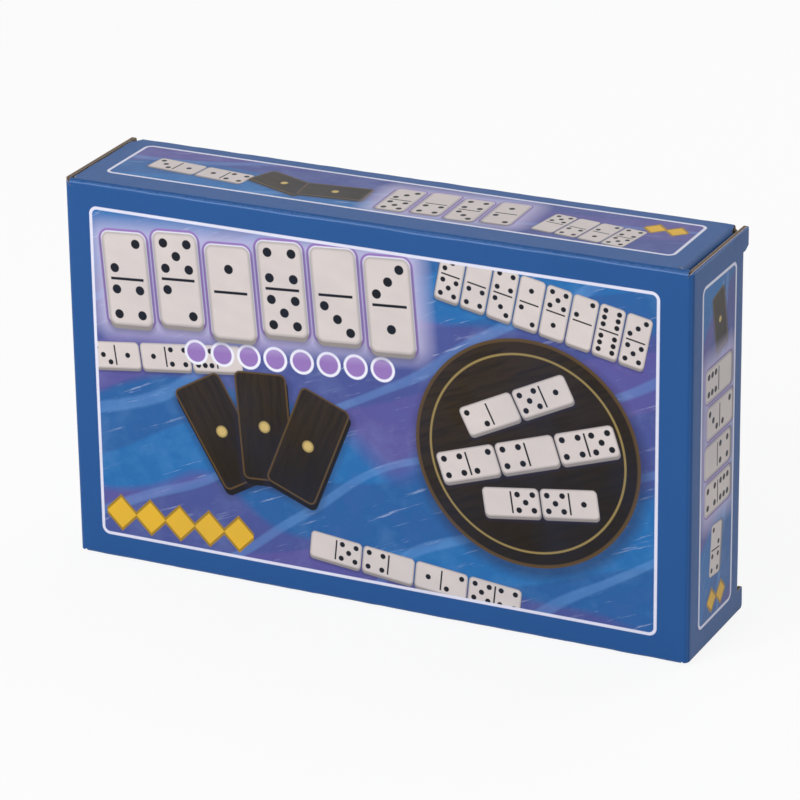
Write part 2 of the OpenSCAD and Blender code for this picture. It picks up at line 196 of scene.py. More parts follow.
class Nodes:
    """A shader's node tree, and the calls that build it."""

    def __init__(self, tree):
        self.tree = tree

    def link(self, value, socket):
        """Feeds a socket from a value, a socket, a colour or a number."""
        if isinstance(value, Value):
            value = value.socket
        if isinstance(value, bpy.types.NodeSocket):
            self.tree.links.new(value, socket)
        elif socket.type == "RGBA":
            socket.default_value = (*value, 1)
        else:
            socket.default_value = value

    def node(self, kind, settings=None, inputs=None):
        made = self.tree.nodes.new("ShaderNode" + kind)
        for key, value in (settings or {}).items():
            setattr(made, key, value)
        for key, value in (inputs or {}).items():
            self.link(value, made.inputs[key])
        return made

    def math(self, operation, *terms):
        made = self.node("Math", {"operation": operation}, dict(enumerate(terms)))
        return Value(self, made.outputs[0])

    def vector(self, operation, *terms):
        return self.node("VectorMath", {"operation": operation}, dict(enumerate(terms)))

    def moved(self, operation, *terms):
        return self.vector(operation, *terms).outputs["Vector"]

    def length(self, spot):
        return Value(self, self.vector("LENGTH", spot).outputs["Value"])

    def split(self, spot):
        made = self.node("SeparateXYZ", None, {0: spot})
        return [Value(self, made.outputs[i]) for i in range(3)]

    def join(self, x, y):
        return self.node("CombineXYZ", None, {0: x, 1: y}).outputs[0]

    def ink(self, value, edge, soft):
        """1 where the value is below the edge, falling to 0 across a soft width."""
        made = self.node(
            "Math", {"operation": "MULTIPLY_ADD", "use_clamp": True},
            {0: value, 1: -1 / soft, 2: edge / soft + 0.5})
        return Value(self, made.outputs[0])

    def mix(self, factor, first, second):
        made = self.node("Mix", {"data_type": "RGBA"}, {0: factor, 6: first, 7: second})
        return made.outputs[2]

    def speckle(self, spot, scale, detail, rough, stretch=None):
        """Noise about 0.5, of so many cells to a unit."""
        if stretch:
            spot = self.moved("MULTIPLY", spot, stretch)
        made = self.node(
            "TexNoise", None,
            {"Vector": spot, "Scale": scale, "Detail": detail, "Roughness": rough})
        return Value(self, made.outputs["Fac"])

    def placed(self, spot, centre, turn=0.0):
        """The same spot, measured from a centre and turned by so many degrees."""
        made = self.node(
            "Mapping", {"vector_type": "TEXTURE"},
            {"Vector": spot, "Location": (*centre, 0), "Rotation": (0, 0, radians(turn))})
        return made.outputs[0]

    def seen(self):
        """1 for what the camera or a reflection sees, and 0 for the light itself."""
        path = self.node("LightPath").outputs
        direct = self.math("MAXIMUM", path["Is Camera Ray"], path["Is Glossy Ray"])
        return direct.either(path["Is Transmission Ray"])

    def card(self, spot, wide, tall, corner):
        """Distance from a card's corner centres: its outline is at the corner radius."""
        folded = self.moved("ABSOLUTE", spot)
        beyond = self.moved("SUBTRACT", folded, (wide / 2 - corner, tall / 2 - corner, 1e3))
        return self.length(self.moved("MAXIMUM", beyond, (0, 0, 0)))

    def disc(self, x, y):
        """Distance out from a round mark's centre."""
        return self.length(self.join(x, y))

    def row(self, x, count, pitch):
        """A row's steps along x: their number, where the row is, and x within each step."""
        number = (x / pitch + count / 2).floor()
        shown = abs(x) < count * pitch / 2
        return number, shown, x - (number - (count - 1) / 2) * pitch

    def tiles(self, spot, count, wide, gap, first, step, sway=0.0, lying=False):
        """A printed row of tiles: distances from each card and from its side below, its corner
        radius, its pips and bar, and where the row is."""
        tall, corner = wide * 2, wide * 0.16
        size = (tall, wide) if lying else (wide, tall)
        pitch = (tall if lying else wide) + gap
        x, y, _ = self.split(spot)
        number, shown, x = self.row(x, count, pitch)
        if sway:
            y = y - (number * 2.3).sine() * sway
        card = self.card(self.join(x, y), *size, corner)
        side = self.card(self.join(x, y + wide * 0.09), *size, corner)
        if lying:
            x, y = y, x
        upper = (number * step + first) % 7
        lower = (number * (step + 2) + first + 2) % 7
        pips = lower + (upper - lower) * (y > 0)
        down = abs(y) - tall / 4
        step_out = wide * 0.27
        away = abs(x) - step_out
        corners = ((x * down > 0) * (pips > 1.5)).either(pips > 3.5)
        dot, soft = wide * 0.1, 0.2
        marks = self.ink(self.disc(away, abs(down) - step_out), dot, soft) * corners
        marks = marks.either(self.ink(self.disc(x, down), dot, soft) * ((pips % 2) > 0.5))
        marks = marks.either(self.ink(self.disc(away, down), dot, soft) * (pips > 5.5))
        bar = self.ink(abs(y), wide * 0.03, soft) * self.ink(abs(x), wide * 0.38, soft)
        return card, side, corner, marks.either(bar), shown


class Finish(Nodes):
    """A procedural material on a Principled shader."""

    def __init__(self, name, roughness=0.5, **constants):
        self.material = bpy.data.materials.new(name)
        self.material.use_nodes = True
        super().__init__(self.material.node_tree)
        self.shader = self.tree.nodes["Principled BSDF"]
        self.shader.inputs["Roughness"].default_value = roughness
        for socket, value in constants.items():
            self.shader.inputs[socket.replace("_", " ")].default_value = value

    def object_spot(self):
        """The surface's own place, in millimetres."""
        place = self.node("TexCoord").outputs["Object"]
        return self.moved("MULTIPLY", place, (1 / MM, 1 / MM, 1 / MM))

    def attribute(self, name, output="Fac"):
        return self.node("Attribute", {"attribute_name": name}).outputs[output]

    def relief(self, height, distance, strength=1.0):
        """Raises and lowers the surface for the light alone."""
        bump = self.node(
            "Bump", None, {"Height": height, "Distance": distance, "Strength": strength})
        self.link(bump.outputs[0], self.shader.inputs["Normal"])

    def set(self, **inputs):
        """Feeds the shader's inputs and returns the material."""
        for socket, value in inputs.items():
            self.link(value, self.shader.inputs[socket.replace("_", " ")])
        return self.material


def coated_board(name):
    """A printed face of the carton, whose colour is still to be laid on."""
    finish = Finish(name, 0.4, Specular_IOR_Level=0.15)
    finish.sheet = finish.attribute("dieline", "Vector")
    return finish


def flute_wave(along):
    """The flutes, as a wave along the sheet."""
    return (along * (2 * pi * MM / sizes().flute)).sine()


def finish_board(finish, colour):
    """Lays the carton's common wear, sheen and grain over a printed colour, with a painted
    highlight and a painted shade band along the front/top crease.
    """
    c = colours()
    front_edge, back_edge = TOP / MM, (TOP + DEEP) / MM
    along, up, _ = finish.split(finish.sheet)
    worn = finish.speckle(finish.sheet, 0.3, 4.0, 0.65)
    fibre = finish.speckle(finish.sheet, 3.0, 2.0, 0.5)
    cloud = finish.speckle(finish.sheet, 0.045, 3.0, 0.5)
    edge = abs(up).both(abs(up - front_edge)).both(abs(up - back_edge))
    bow = (cloud - 0.5) * 1.4
    # Painted highlight: a lighter blue line along the front panel's upper edge on the crease,
    # partly worn print.
    painted_crest_highlight = finish.ink(abs(up - (front_edge - 0.7) + bow), 0.22, 0.36) * (0.25 + worn * 0.4)
    # Lighter worn print along the creases and end folds, joined below with the painted crease
    # highlight.
    rub_and_highlight = finish.ink(edge + abs(worn - 0.5) * 6, 0.6, 0.8) * 0.16
    rub_and_highlight = rub_and_highlight.either(painted_crest_highlight).either(finish.ink(abs(abs(along) - END / MM), 0.35, 0.5) * 0.08)
    # Painted shade: a darker blue band just over the front/top crease, on the top panel.
    painted_crease_shade = finish.ink(abs(up - (front_edge + 0.5) + bow), 0.5, 0.7) * 0.35
    colour = finish.mix(painted_crease_shade, colour, dimmed(c.border, 0.5))
    colour = finish.mix(rub_and_highlight, colour, (0.2, 0.36, 0.72))
    colour = finish.mix(finish.ink(fibre, 0.36, 0.3) * 0.07, colour, (0.01, 0.03, 0.08))
    colour = finish.mix(finish.ink(cloud, 0.5, 0.4) * 0.10, colour, dimmed(c.border, 0.6))
    finish.relief(flute_wave(along) * 0.03 + fibre * 0.04 + cloud * 2.0, 0.1 * MM, 0.6)
    return finish.set(Base_Color=colour, Roughness=worn * 0.12 + 0.33)


class Picture:
    """A printed picture on one panel: waves inside a keyline, with shapes laid over them."""

    def __init__(self, name, centre, turn=0.0):
        self.finish = coated_board(name)
        self.spot = self.finish.placed(self.finish.sheet, centre, turn)
        self.colour = None

    def waves(self, lean, width):
        """Ribbons of azure, blue and violet that cross, under faint clouds and scratches."""
        f, c = self.finish, colours()
        drift = f.speckle(self.spot, 0.012, 1.0, 0.5)
        local = f.placed(self.spot, (0, 0), lean)
        x, y, _ = f.split(local)
        bend = (x * 0.021).sine() * 1.3 + drift * 5
        ribbons = f.ink((y / width + bend).sine(), 0.15, 0.16)
        broad = f.ink((y / (width * 2.1) + bend * 1.35 + x * 0.012).sine(), 0.1, 0.25)
        thin = f.ink(abs((y / (width * 1.45) - bend * 0.8 + 1.1).sine()), 0.16, 0.08)
        blue = f.mix(ribbons, c.azure, between(c.azure, c.border, 0.62))
        violet = f.mix(ribbons, dimmed(c.violet, 1.12), between(c.violet, c.border, 0.35))
        colour = f.mix(broad, blue, violet)
        colour = f.mix(thin * 0.35, colour, (0.16, 0.36, 0.72))
        mist = f.speckle(self.spot, 0.05, 6.0, 0.65)
        scratch = f.speckle(local, 0.3, 4.0, 0.7, (0.12, 1.6, 1.0))
        colour = f.mix(f.ink(mist, 0.45, 0.2) * 0.3, colour, (0.07, 0.13, 0.38))
        colour = f.mix(f.ink(1 - mist, 0.42, 0.2) * 0.15, colour, (0.30, 0.45, 0.78))
        marks = f.ink(scratch, 0.37, 0.06) * f.ink(mist, 0.54, 0.2) * 0.4
        self.colour = f.mix(marks, colour, (0.55, 0.62, 0.84))
        return self

    def lay(self, mask, colour):
        """Prints a colour over the picture where the mask is 1."""
        self.colour = self.finish.mix(mask, self.colour, colour)
        return self

    def at(self, centre, turn=0.0):
        return self.finish.placed(self.spot, centre, turn)

    def tile_row(self, centre, turn, count, wide, first, step, outline=0.0, sway=0.0, lying=False):
        """A row of tiles, which may have an outline and a halo."""
        f, c = self.finish, colours()
        tall, gap = wide * 2, 0.5 + 2 * outline
        spot = self.at(centre, turn)
        card, side, corner, marks, shown = f.tiles(
            spot, count, wide, gap, first, step, sway, lying)
        if outline:
            halo = f.card(spot, count * (wide + gap) + 5, tall + 5, corner + 2.5)
            self.lay(f.ink(halo, corner + 3, 7.0) * 0.75, HALO)
            self.lay(f.ink(card, corner + outline, CRISP) * shown, c.lilac)
            self.lay(f.ink(card, corner + outline * 0.35, CRISP) * shown, PALE)
        self.lay(f.ink(side, corner + wide * 0.05, wide * 0.16) * shown * 0.6, SHADOW)
        self.lay(f.ink(side, corner, 0.25) * shown, dimmed(c.cream, 0.42))
        self.lay(f.ink(card, corner, 0.25) * shown, dimmed(c.cream, 0.70))
        x, y, _ = f.split(spot)
        light = f.mix((x * 0.4 + y).sine() * 0.04 + 0.05, c.cream, dimmed(c.cream, 0.8))
        self.lay(f.ink(card, corner - wide * 0.04, wide * 0.05) * shown, light)
        self.lay(marks * shown, c.pip)
        return self

    def dark_wood(self, mask, spot, reach, turn=0.0):
        """Dark grained wood, a little lighter where the light falls on it."""
        f, c = self.finish, colours()
        x, y, _ = f.split(spot)
        lit = f.ink(x * 0.7 - y, -0.1 * reach, 1.6 * reach)
        grain = f.speckle(f.placed(spot, (0, 0), turn), 0.5, 5.0, 0.6, (0.1, 1.0, 1.0))
        wood = f.mix(lit, c.umber, dimmed(c.umber, 2.2))
        wood = f.mix(f.ink(grain, 0.47, 0.14) * 0.5, wood, dimmed(c.umber, 0.45))
        return self.lay(mask, wood)

    def tile_back(self, centre, turn, wide):
        """The dark back of one tile, with its thin rim and its stud."""
        f, c = self.finish, colours()
        spot = self.at(centre, turn)
        edge = wide * 0.12
        card = f.card(spot, wide, wide * 2, edge)
        below = self.at((centre[0] + wide * 0.03, centre[1] - wide * 0.1), turn)
        side = f.card(below, wide, wide * 2, edge)
        self.lay(f.ink(side, edge + wide * 0.05, wide * 0.18) * 0.55, (0.02, 0.02, 0.05))
        self.lay(f.ink(side, edge, 0.25), dimmed(c.umber, 0.45))
        self.lay(f.ink(card, edge, 0.25), dimmed(c.umber, 7))
        self.dark_wood(f.ink(card, edge - 0.6, CRISP), spot, wide, 90)
        stud = f.length(spot)
        self.lay(f.ink(stud, wide * 0.11, CRISP), dimmed(c.brass, 0.6))
        self.lay(f.ink(stud, wide * 0.08, 0.6), c.brass)
        return self

    def table(self, centre, radius):
        """A round table of dark wood, with a brass ring let into it."""
        f, c = self.finish, colours()
        spot = self.at(centre)
        out = f.length(spot)
        cast = f.length(self.at((centre[0] + 1, centre[1] - 2)))
        self.lay(f.ink(cast, radius + 1.5, 4.0) * 0.6, SHADOW)
        self.lay(f.ink(out, radius, CRISP), dimmed(c.umber, 7))
        self.dark_wood(f.ink(out, radius - 1.1, 0.5), spot, radius, 24)
        self.lay(f.ink(abs(out - (radius - 5)), 0.35, CRISP) * 0.8, dimmed(c.brass, 0.6))
        return self

    def beads(self, centre, turn, count, pitch, radius, colour, rim, diamond=False):
        """A row of round or diamond-shaped beads with a rim."""
        f = self.finish
        x, y, _ = f.split(self.at(centre, turn))
        _, shown, x = f.row(x, count, pitch)
        out = (abs(x) + abs(y)) * 0.8 if diamond else f.disc(x, y)
        self.lay(f.ink(out, radius + 0.9, CRISP) * shown, rim)
        self.lay(f.ink(out, radius, CRISP) * shown, colour)
        return self

    def diamonds(self, centre, count, pitch, radius):
        """A row of amber diamonds with a darker rim."""
        amber = colours().amber
        return self.beads(centre, 0, count, pitch, radius, amber, dimmed(amber, 0.45), True)

    def framed(self, centre, wide, tall, corner=2.7):
        """Closes the picture with its keyline and the plain border."""
        f, c = self.finish, colours()
        line = sizes().keyline / MM
        card = f.card(self.at(centre), wide, tall, corner)
        self.lay(1 - f.ink(card, corner - line, 0.22), c.keyline)
        self.lay(1 - f.ink(card, corner, 0.22), c.border)
        return finish_board(f, self.colour)


def front_print():
    """Rows of tiles, a table and a fan of tile backs, on the front panel."""
    p = Picture("print_front", (0, TOP / MM / 2)).waves(24, 6.5)
    p.tile_row((57, 44.7), -11, 8, 8.2, 3, 4)
    p.tile_row((-71, 9), 7, 3, 8.8, 1, 3, lying=True)
    p.tile_row((14, -49), -6, 4, 8.8, 5, 2, lying=True)
    p.table((52, -3), 37)
    p.tile_row((52, -3), 18, 3, 10.0, 2, 5, lying=True)
    p.tile_row((48.4, 12.3), 26, 2, 9.4, 0, 1, lying=True)
    p.tile_row((56.4, -18.2), 8, 2, 9.4, 5, 3, lying=True)
    p.tile_back((-52, -13), 30, 18).tile_back((-37, -9), 4, 18).tile_back((-22, -13), -22, 18)
    p.beads((-28, 14.5), 4, 8, 9.2, 3.2, colours().lilac, PALE)
    p.tile_row((-38.5, 36), 4, 6, 15.2, 2, 3, outline=1.2, sway=1.6)
    p.diamonds((-68, -47), 5, 10.5, 4.2)
    return p.framed((-0.9, 0), FRAME_LONG, FRAME_TALL)


def top_print():
    """Rows of tiles and two tile backs, on the top panel."""
    p = Picture("print_top", (0, (TOP + DEEP / 2) / MM)).waves(12, 5.0)
    p.tile_row((-69, 1), -6, 2, 8.6, 1, 3, lying=True).tile_row((63, -1), -8, 4, 7.6, 5, 2)
    p.tile_back((-40, 1), 68, 11).tile_back((-22, 0), 96, 11)
    p.tile_row((17, 1.5), 2, 4, 9.4, 3, 4, outline=0.8, sway=0.8)
    p.diamonds((84, 8), 2, 7, 2.6)
    return p.framed((-0.9, 2.2), FRAME_LONG, FRAME_DEEP)


def end_print(name, side):
    """A column of tiles, on one of the two end panels."""
    middle = (side * (END + DEEP / 2) / MM, TOP / MM / 2)
    p = Picture(f"print_end_{name}", middle).waves(70, 5.0)
    p.tile_back((0, 41), 12, 9.5)
    p.tile_row((0, 4), 90, 4, 10.2, 4, 3, outline=0.8, sway=0.8)
    p.tile_row((-1, -33), 84, 1, 8.4, 2, 5, lying=True)
    p.diamonds((0, -49), 2, 7.5, 2.6)
    return p.framed((-side * 0.7, 0), FRAME_END, FRAME_TALL)


def back_print():
    """Rows of tiles, a small table and two tile backs, on the back panel."""
    p = Picture("print_back", (0, (TOP + DEEP + TOP / 2) / MM), 180).waves(-18, 7.5)
    p.tile_row((-52, 16), 9, 4, 10.0, 6, 2, lying=True).tile_row((46, -22), 9, 7, 9.6, 2, 4)
    p.table((40, 22), 22)
    p.tile_row((40, 22), 186, 1, 9.0, 1, 2, lying=True)
    p.tile_row((40, 22), 96, 1, 6.0, 3, 2, lying=True)
    p.tile_back((-48, -24), 20, 15).tile_back((-32, -22), -8, 15)
    p.beads((-2, 0), 9, 5, 8.4, 3.0, colours().lilac, PALE)
    return p.framed((0, 0), FRAME_LONG, FRAME_TALL)


def bottom_print():
    """A plain panel with a keyline and a row of beads."""
    p = Picture("print_bottom", (0, -DEEP / 2 / MM))
    p.colour = colours().border
    f = p.finish
    card = f.card(p.at((0, 0)), FRAME_LONG, FRAME_DEEP, 2.7)
    p.lay(f.ink(abs(card - 2.2), 0.5, 0.22), colours().keyline)
    p.beads((0, 0), 0, 7, 10.5, 3.2, colours().azure, colours().keyline)
    return finish_board(f, p.colour)


def plain_blue():
    """The border's blue alone, on the flaps."""
    return finish_board(coated_board("board_plain_blue"), colours().border)


def inner_liner():
    """The bare inside of the board, with the flutes showing through."""
    f = Finish("board_inner_liner", 0.85)
    sheet = f.attribute("dieline", "Vector")
    fibre = f.speckle(sheet, 1.4, 6.0, 0.7, (1.0, 0.35, 1.0))
    cloud = f.speckle(sheet, 0.06, 3.0, 0.5)
    along, _, _ = f.split(sheet)
    flutes = flute_wave(along)
    c = colours()
    colour = f.mix(f.ink(fibre, 0.44, 0.2), c.liner, dimmed(c.liner, 0.66))
    colour = f.mix(f.ink(cloud, 0.5, 0.4) * 0.3, colour, dimmed(c.liner, 1.25))
    colour = f.mix(flutes * 0.035 + 0.035, colour, dimmed(c.liner, 0.5))
    f.relief(fibre * 0.3 + flutes * 0.16, 0.1 * MM)
    return f.set(Base_Color=colour)


def raw_edge():
    """A cut edge of the board: two skins and the flutes between them, with painted shade in the
    hollows between the flutes.
    """
    f = Finish("board_raw_edge", 0.9)
    sheet = f.attribute("dieline", "Vector")
    depth = Value(f, f.attribute("depth"))
    along, _, _ = f.split(sheet)
    c = colours()
    fray = f.speckle(sheet, 2.2, 4.0, 0.7)
    wave = flute_wave(along) * 0.3 + 0.5
    paper = f.ink(abs(depth + (fray - 0.5) * 0.25 - wave), 0.16, 0.12)
    # Painted shade: the hollows between the flute paper are darker.
    core_and_hollow_shade = f.mix(paper, dimmed(c.kraft, 0.55), c.kraft)
    core_and_hollow_shade = f.mix(f.ink(fray, 0.45, 0.2) * 0.5, core_and_hollow_shade, dimmed(c.kraft, 0.6))
    skin = f.ink(depth + (fray - 0.5) * 0.15, 0.16, 0.08)
    inside = f.ink(1 - depth, 0.14, 0.08)
    colour = f.mix(inside, f.mix(skin, core_and_hollow_shade, (0.52, 0.44, 0.42)), dimmed(c.liner, 1.1))
    f.relief(fray + paper * 0.5, 0.2 * MM)
    return f.set(Base_Color=colour)


# ---- Board pieces ----


def cut_blank(outline, side=1):
    """A flat blank of board on the front panel's plane, cut to an outline of (along, up)."""
    blank = bmesh.new()
    face = blank.faces.new([blank.verts.new((side * u, FRONT, v)) for u, v in outline])
    blank.normal_update()
    if face.normal.y > 0:
        face.normal_flip()
    return blank


def round_corners(blank, picked, radius):
    """Rounds the blank's corners that lie at the picked (along, up) points."""
    near = [v for v in blank.verts
            if any(hypot(abs(v.co.x) - u, v.co.z - z) < 1e-6 for u, z in picked)]
    bmesh.ops.bevel(
        blank, geom=near, offset=radius, segments=5, profile=0.5, affect="VERTICES", material=-1)


def score(blank, direction, places):
    """Cuts lines across the blank, so that it can bend there."""
    for place in places:
        bmesh.ops.bisect_plane(
            blank, geom=blank.verts[:] + blank.edges[:] + blank.faces[:], dist=1e-7,
            plane_co=direction * place, plane_no=direction)


def steps(low, high, pitch):
    """Even places for cuts from low to high, about a pitch apart."""
    count = max(1, round((high - low) / pitch))
    return [low + (high - low) * i / count for i in range(count + 1)]


def wobble(spot, cell, level):
    """Noise from -1 to 1 at a place on the flat sheet, with cells of so many millimetres."""
    return noise.noise(Vector((spot.x / MM / cell, spot.z / MM / cell, level)))


def ripple(blank, creases):
    """Marks each point's place on the flat sheet, in millimetres, then lets the board wander a
    little, most of all near its creases, given as (direction, place)."""
    layer = blank.verts.layers.float_vector.new("dieline")
    size, reach, spread, inward = sizes().ripple, 9, 2.6, 0.35
    for v in blank.verts:
        v[layer] = (v.co.x / MM, v.co.z / MM, 0)
        wander = wobble(v.co, 55, 3) * 0.6
        for direction, place in creases:
            away = (v.co.dot(direction) - place) / MM
            if abs(away) < reach:
                near = 1 / (1 + (away / spread) ** 2)
                wander += near * (wobble(v.co, 9, 7) + 0.5 * wobble(v.co, 3.5, 9))
        v.co += BOARD_OUTWARD * size * (wander - inward)


def fold(blank, across, place, radius):
    """Turns the board beyond a crease through a right angle, away from its print."""
    for v in blank.verts:
        beyond = v.co.dot(across) - place
        if beyond <= -radius:
            continue
        out = -(v.co.y - FRONT)
        foot = v.co - across * beyond - BOARD_OUTWARD * out
        if beyond >= radius:
            v.co = foot - BOARD_OUTWARD * beyond + across * out
            continue
        turn = (beyond + radius) / (2 * radius) * pi / 2
        centre = foot - (across + BOARD_OUTWARD) * radius
        v.co = centre + (across * sin(turn) + BOARD_OUTWARD * cos(turn)) * (radius + out)


def board_piece(name, blank, face, inside=None):
    """Gives a folded blank its face, thickness, liner and cut edges."""
    mesh = bpy.data.meshes.new(name)
    blank.to_mesh(mesh)
    blank.free()
    outer = len(mesh.vertices)
    piece = bpy.data.objects.new(name, mesh)
    bpy.context.scene.collection.objects.link(piece)
    for material in (face, *(inside or (inner_liner(), raw_edge()))):
        mesh.materials.append(material)
    wall = piece.modifiers.new("board", "SOLIDIFY")
    wall.thickness = sizes().board
    wall.offset = -1
    wall.use_even_offset = True
    wall.material_offset, wall.material_offset_rim = 1, 2
    bpy.context.view_layer.update()
    evaluated = piece.evaluated_get(bpy.context.evaluated_depsgraph_get())
    solid = bpy.data.meshes.new_from_object(evaluated)
    piece.modifiers.clear()
    piece.data = solid
    solid.name = name
    depth = solid.attributes.new("depth", "FLOAT", "POINT")
    depth.data.foreach_set("value", [float(i >= outer) for i in range(len(solid.vertices))])
    smooth_bends(solid)
    return piece


def smooth_bends(mesh):
    """Shades bends smoothly and keeps cut edges sharp."""
    bm = bmesh.new()
    bm.from_mesh(mesh)
    for face in bm.faces:
        face.smooth = True
    for edge in bm.edges:
        edge.smooth = len(edge.link_faces) == 2 and edge.calc_face_angle(0) < radians(40)
    bm.to_mesh(mesh)
    bm.free()


def bend_lines(place, radius):
    """Places for the cuts across a bend, from its start to its end."""
    return [place + radius * (i / 5 - 1) for i in range(11)]


def swell(blank, across, place, spread, amount):
    """Lets the board bulge a little beside a crease, like a fold pressed closed."""
    for v in blank.verts:
        past = (v.co.dot(across) - place) / spread
        v.co += BOARD_OUTWARD * amount * exp(-past * past)


def near_lines(place, spread=(3, 4.5, 6.5, 9)):
    """Places for the cuts on both sides of a bend, so many millimetres away."""
    return [place + sign * s * MM for s in spread for sign in (-1, 1)]


def panel_edges():
    """Half-widths of the sleeve's panels: at the end panels' folds, at the dust flaps' folds,
    and in full."""
    s = sizes()
    at_end = END - s.fold - s.board - 0.4 * MM
    at_dust = DUST_HIGH.x - s.soft_fold - s.board - PLAY
    return at_end, at_dust, END - 1.6 * MM


def dust_crease(side):
    """Where a dust flap folds down and how tightly: softly at the right, and close to the end
    panel at the left."""
    s = sizes()
    if side > 0:
        return DUST_HIGH.x, s.soft_fold
    return DUST_HIGH.x + s.left_reach, s.tight_fold


def ease_corners(blank, fixed, free):
    """Bends the top panel's rear corners down along the dust flaps' folds, in full where they
    are free and not at all where the back panel holds them."""
    for v in blank.verts:
        crease, radius = dust_crease(v.co.x)
        past = abs(v.co.x) - (crease - radius)
        if past > 0:
            turn = past / radius * pi / 4
            share = (fixed - v.co.z) / (fixed - free)
            v.co -= BOARD_OUTWARD * radius * (1 - cos(turn)) * share
            v.co.x *= 1 - (past - radius * sin(turn)) * share / abs(v.co.x)


def sleeve_blank(outline, up_lines, creases):
    """One of the sleeve's panels, still flat, with its cuts and ripples."""
    blank = cut_blank(outline)
    low = min(u for u, _ in outline)
    score(blank, ALONG, steps(low, -low, FINE_STEP))
    score(blank, UP, up_lines)
    ripple(blank, creases)
    return blank


def mirror_outline(right):
    """Closes an outline whose right half is given from the bottom up."""
    return right + [(-u, v) for u, v in reversed(right)]


class DOMINO_OT_sleeve(bpy.types.Operator):
    """Folds the carton's sleeve: front, top, back and bottom panels, with the glue flap inside"""

    bl_idname = "domino_box.sleeve"
    bl_label = "Sleeve"

    def execute(self, context):
        s = sizes()
        r = s.fold
        at_end, at_dust, full = panel_edges()
        slot_in = DUST_HIGH.x - s.soft_fold
        fold_back = TOP + DEEP
        glue = DEEP - s.board - 2 * PLAY
        notch = glue - 2 * r
        eased = full - 2.6 * MM
        folds = [(UP, 0.0), (UP, TOP), (UP, fold_back), (UP, -glue)]

        front = sleeve_blank(
            mirror_outline([
                (full - 1.5 * MM, -r), (full - 0.9 * MM, -0.6 * MM), (full - 0.5 * MM, 1.0 * MM),
                (at_end, 1.9 * MM), (at_end, TOP - 2.2 * MM), (full, TOP - 2 * MM),
                (full, TOP + r)]),
            bend_lines(0, r) + bend_lines(TOP, r) + near_lines(0) + near_lines(TOP)
            + steps(MARGIN, TOP - MARGIN, WIDE_STEP), folds)
        fold(front, UP, TOP, r)
        fold(front, -UP, 0, r)

        top = sleeve_blank(
            mirror_outline([
                (at_dust, TOP + r), (at_dust, TOP + notch), (slot_in, TOP + notch),
                (full - 1.0 * MM, TOP + notch), (eased, fold_back - r)]),
            near_lines(TOP)[1::2] + near_lines(fold_back)[::2]
            + steps(TOP + MARGIN, fold_back - MARGIN, NARROW_STEP), folds)
        ease_corners(top, fold_back - r, TOP + notch)
        fold(top, UP, TOP, r)

        back = sleeve_blank(
            mirror_outline([
                (eased, fold_back - r), (eased, fold_back + r),
                (full, fold_back + 4.0 * MM), (full, fold_back + TOP)]),
            bend_lines(fold_back, r) + near_lines(fold_back)
            + steps(fold_back + MARGIN, fold_back + TOP - 4 * MM, WIDE_STEP), folds)
        fold(back, UP, fold_back, r)
        fold(back, UP, TOP, r)

        tip, neck = -glue - 17 * MM, -glue - 3.5 * MM
        flap = full - 15 * MM
        bottom = sleeve_blank(
            mirror_outline([
                (flap - 6 * MM, tip), (flap, tip + 4 * MM), (flap, neck), (full, neck),
                (full, -notch), (at_dust, -notch), (at_dust, -r)]),
            bend_lines(-glue, r) + near_lines(-glue) + near_lines(0)[::2]
            + steps(-glue + MARGIN, -MARGIN, NARROW_STEP), folds)
        fold(bottom, -UP, glue, r)
        fold(bottom, -UP, 0, r)

        inside = inner_liner(), raw_edge()
        for name, blank, picture in (("front", front, front_print), ("top", top, top_print),
                                     ("back", back, back_print), ("bottom", bottom, bottom_print)):
            piece = board_piece(f"printed_{name}", blank, picture(), inside)
            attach(piece, "root")
            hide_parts("carton_sleeve")
        return {"FINISHED"}


class DOMINO_OT_ends(bpy.types.Operator):
    """Folds the two end panels round the sleeve's front edges, with their locking ears"""

    bl_idname = "domino_box.ends"
    bl_label = "End panels"

    def execute(self, context):
        s = sizes()
        r = s.fold
        at_end, _, _ = panel_edges()
        low = END_LOW.z
        ear = END + DEEP
        root = END + (TUCK_HIGH.y - r - s.board - PLAY) - FRONT
        low_ear, high_ear = low + 6.9 * MM, TOP - 7.3 * MM
        outline = [
            (at_end, 1.95 * MM), (END - 2.05 * MM, 1.05 * MM), (END - 1.2 * MM, 0.75 * MM),
            (END + 1.5 * MM, low), (ear, low), (ear, low_ear), (root, low_ear),
            (root, high_ear), (ear - 2.4 * MM, high_ear), (ear, TOP - 6.2 * MM), (ear, TOP),
            (END + 1.2 * MM, TOP), (END - 1.2 * MM, TOP - 1.2 * MM),
            (END - 1.4 * MM, TOP - 2.05 * MM), (at_end, TOP - 2.2 * MM)]
        for name, side in SIDES:
            blank = cut_blank(outline, side)
            round_corners(blank, [(ear, TOP), (ear, low)], 1.2 * MM)
            across = ALONG * side
            score(blank, across, bend_lines(END, r) + near_lines(END, (3, 4.5, 6.5))
                  + steps(END + MARGIN, ear - 4 * MM, 5 * MM))
            score(blank, UP, steps(5 * MM, TOP - 5 * MM, FINE_STEP))
            ripple(blank, [(across, ear - 3 * MM)])
            fold(blank, across, END, r)
            piece = board_piece(f"printed_{name}_end", blank, end_print(name, side))
            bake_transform(piece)
            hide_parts(f"{name}_end_panel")
        return {"FINISHED"}


